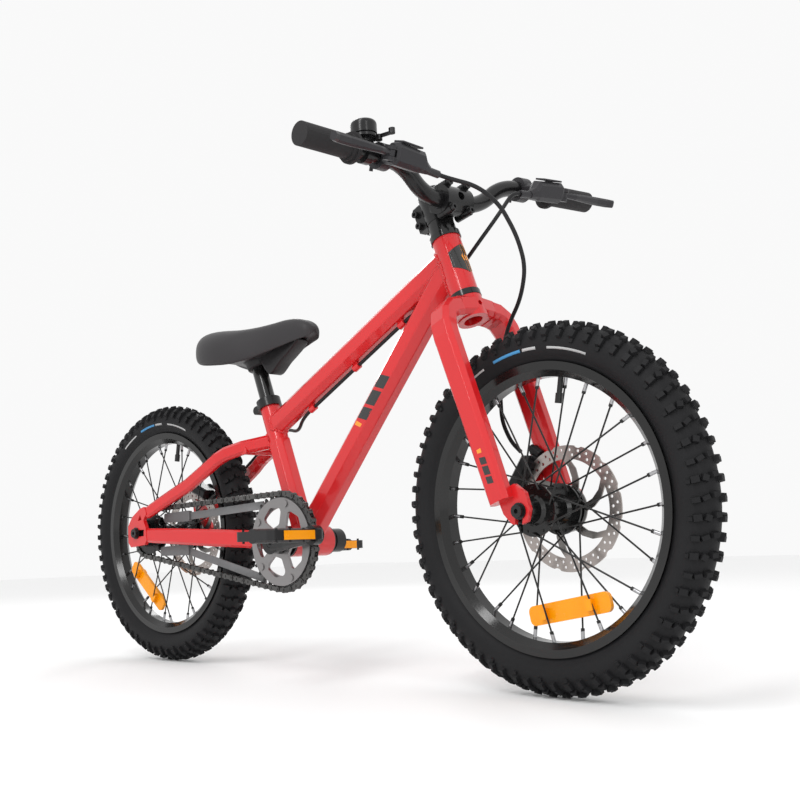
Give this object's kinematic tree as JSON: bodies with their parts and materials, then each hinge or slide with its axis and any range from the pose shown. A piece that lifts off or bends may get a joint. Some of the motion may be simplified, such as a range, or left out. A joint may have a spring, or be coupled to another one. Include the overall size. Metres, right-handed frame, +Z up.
{
  "type": "children's bicycle",
  "caption": "Child's rigid-fork mountain bicycle with disc brakes, single-speed chain drive, platform pedals, riser bar, bell and spoke reflectors.",
  "frame": {"origin": "on the ground, half way between the two axles, in the bicycle's middle plane", "axes": "+X forward, +Y to the rider's left, +Z up; the handlebar is turned 5 degrees to the rider's right at rest"},
  "size_m": [1.1187, 0.4721, 0.6335],
  "materials": {
    "frame_paint": "gloss",
    "black_metal": "satin",
    "black_alloy": "anodised",
    "silver": "satin",
    "steel": "brushed",
    "chain_steel": "oiled",
    "tyre": "matt",
    "rubber": "matt",
    "black_plastic": "satin",
    "grey_plastic": "textured",
    "amber": "gloss",
    "saddle": "satin"
  },
  "bodies": {
    "frame": {"head_tube": "frame_paint", "top_tube": "frame_paint", "down_tube": "frame_paint", "seat_tube": "frame_paint", "bottom_bracket_shell": "frame_paint", "seatstay_right": "frame_paint", "seatstay_left": "frame_paint", "chainstay_right": "frame_paint", "chainstay_left": "frame_paint", "dropout_right": "frame_paint", "dropout_left": "frame_paint", "cable_guides": "frame_paint", "headset_cups": "black_alloy", "bottom_bracket_cups": "black_alloy", "seat_clamp": "black_alloy", "rear_axle": "black_metal", "rear_caliper": "black_alloy", "rear_brake_hose": "rubber", "chain_guard": "grey_plastic", "chain": "chain_steel"},
    "steering": {"fork_crown": "frame_paint", "fork_leg_right": "frame_paint", "fork_leg_left": "frame_paint", "headset_spacers": "black_alloy", "stem": "black_alloy", "stem_faceplate": "black_alloy", "stem_bolts": "black_metal", "handlebar": "black_alloy", "grips": "rubber", "brake_lever_body_right": "black_alloy", "brake_lever_body_left": "black_alloy", "front_caliper": "black_alloy", "front_brake_hose": "rubber", "front_axle": "black_metal", "bell": "black_alloy"},
    "front_wheel": {"front_hub": "black_alloy", "front_rim": "black_alloy", "front_spokes": "black_metal", "front_tyre": "tyre", "front_rotor": "steel", "front_spoke_reflector": "amber"},
    "rear_wheel": {"rear_hub": "black_alloy", "rear_rim": "black_alloy", "rear_spokes": "black_metal", "rear_tyre": "tyre", "rear_rotor": "steel", "rear_spoke_reflector": "amber"},
    "crankset": {"crank_axle": "black_metal", "crank_arm_right": "black_alloy", "crank_arm_left": "black_alloy", "chainring": "silver", "pedal_axles": "black_metal"},
    "freewheel": {"rear_sprocket": "black_metal"},
    "pedal_r": {"pedal_right": "black_plastic"},
    "pedal_l": {"pedal_left": "black_plastic"},
    "seat": {"seatpost": "black_alloy", "saddle": "saddle"},
    "blade_r": {"brake_blade_right": "black_alloy"},
    "blade_l": {"brake_blade_left": "black_alloy"},
    "striker": {"bell_striker": "black_metal"}
  },
  "joints": [
    {"name": "steering", "type": "hinge", "parent": "frame", "child": "steering", "pos_m": [0.34219, 0, 0.2025], "axis": [-0.3256, 0, 0.9455], "range_deg": [-50, 60], "deforming": ["rear_brake_hose"]},
    {"name": "front_wheel_spin", "type": "hinge", "parent": "steering", "child": "front_wheel", "pos_m": [0.35695, -0.00122, 0.20248], "axis": [0.0824, 0.9962, 0.0284], "continuous": true},
    {"name": "rear_wheel_spin", "type": "hinge", "parent": "frame", "child": "rear_wheel", "pos_m": [-0.357, 0, 0.2025], "axis": [0, 1, 0], "continuous": true},
    {"name": "crank_spin", "type": "hinge", "parent": "frame", "child": "crankset", "pos_m": [-0.03518, 0, 0.18], "axis": [0, 1, 0], "continuous": true, "deforming": ["chain"]},
    {"name": "sprocket_spin", "type": "hinge", "parent": "frame", "child": "freewheel", "pos_m": [-0.357, 0, 0.2025], "axis": [0, 1, 0], "continuous": true},
    {"name": "pedal_right_spin", "type": "hinge", "parent": "crankset", "child": "pedal_r", "pos_m": [0.05361, 0, 0.18621], "axis": [0, 1, 0], "continuous": true},
    {"name": "pedal_left_spin", "type": "hinge", "parent": "crankset", "child": "pedal_l", "pos_m": [-0.12396, 0, 0.17379], "axis": [0, 1, 0], "continuous": true},
    {"name": "saddle_height", "type": "slide", "parent": "frame", "child": "seat", "axis": [-0.3322, 0, 0.9432], "range_m": [-0.035, 0.055]},
    {"name": "brake_right", "type": "hinge", "parent": "steering", "child": "blade_r", "pos_m": [0.2807, -0.14927, 0.58398], "axis": [-0.3398, 0.0548, -0.9389], "range_deg": [0, 16], "stiffness_Nm_per_rad": 0.6, "springref_deg": -11.46},
    {"name": "brake_left", "type": "hinge", "parent": "steering", "child": "blade_l", "pos_m": [0.30426, 0.13553, 0.5921], "axis": [0.3398, -0.0548, 0.9389], "range_deg": [0, 16], "stiffness_Nm_per_rad": 0.6, "springref_deg": -11.46},
    {"name": "bell_strike", "type": "hinge", "parent": "steering", "child": "striker", "pos_m": [0.24496, -0.12725, 0.61772], "axis": [-0.0012, -0.0284, 0.9996], "range_deg": [0, 25], "stiffness_Nm_per_rad": 0.02, "springref_deg": -11.46}
  ],
  "couplings": [
    {"joint": "sprocket_spin", "follows": "crank_spin", "ratio": 1.7778}
  ]
}
